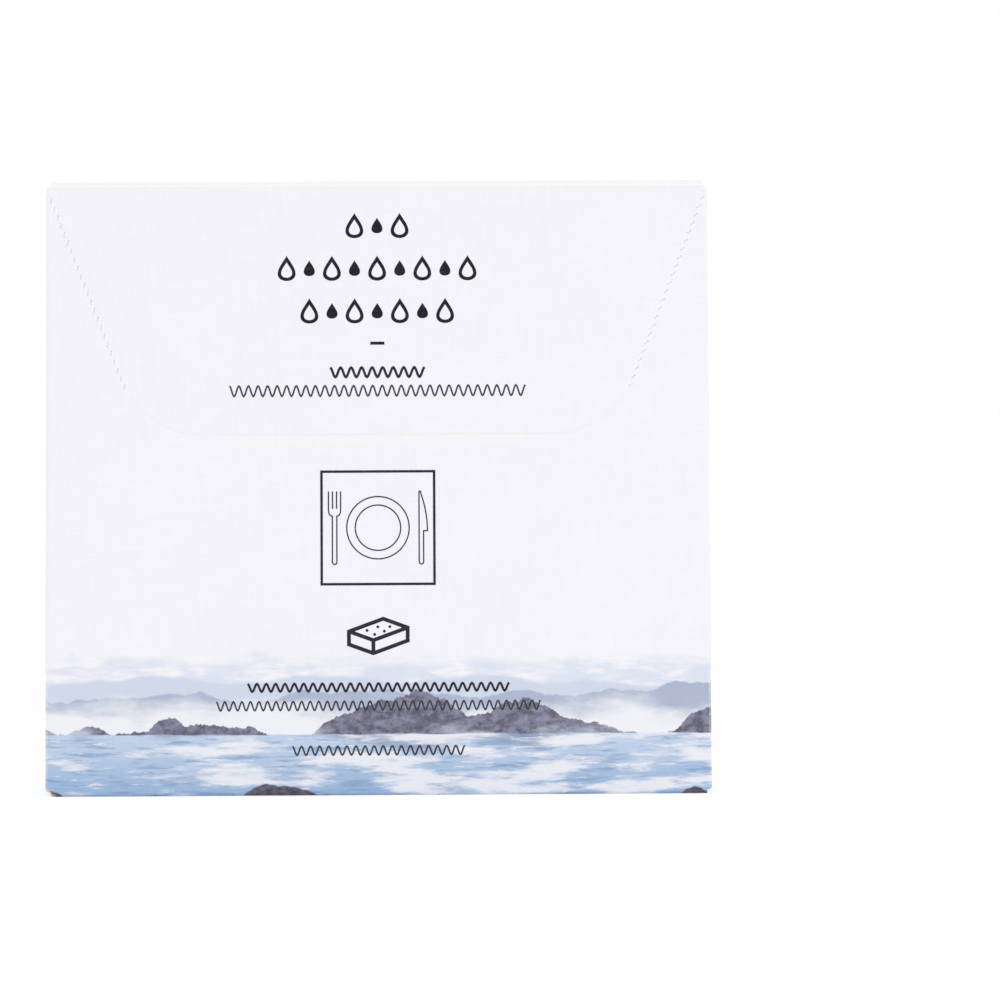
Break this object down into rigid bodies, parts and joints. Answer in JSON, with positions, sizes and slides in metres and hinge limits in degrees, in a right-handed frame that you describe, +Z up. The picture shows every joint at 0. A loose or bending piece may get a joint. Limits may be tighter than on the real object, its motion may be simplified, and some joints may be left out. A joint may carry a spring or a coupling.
{
  "type": "dishwasher tablet carton",
  "caption": "Closed folding carton of printed paperboard for dishwasher tablets, with glued end flaps and a perforated tear-open lid in its front panel.",
  "frame": {"origin": "middle of the base, on the surface that the carton stands on", "axes": "+X to the right across the front panel, -Y out of the front panel, +Z up"},
  "size_m": [0.164, 0.064, 0.152],
  "materials": {
    "board": "matt linen-grained white board"
  },
  "bodies": {
    "root": {"carton": "board"}
  },
  "joints": []
}
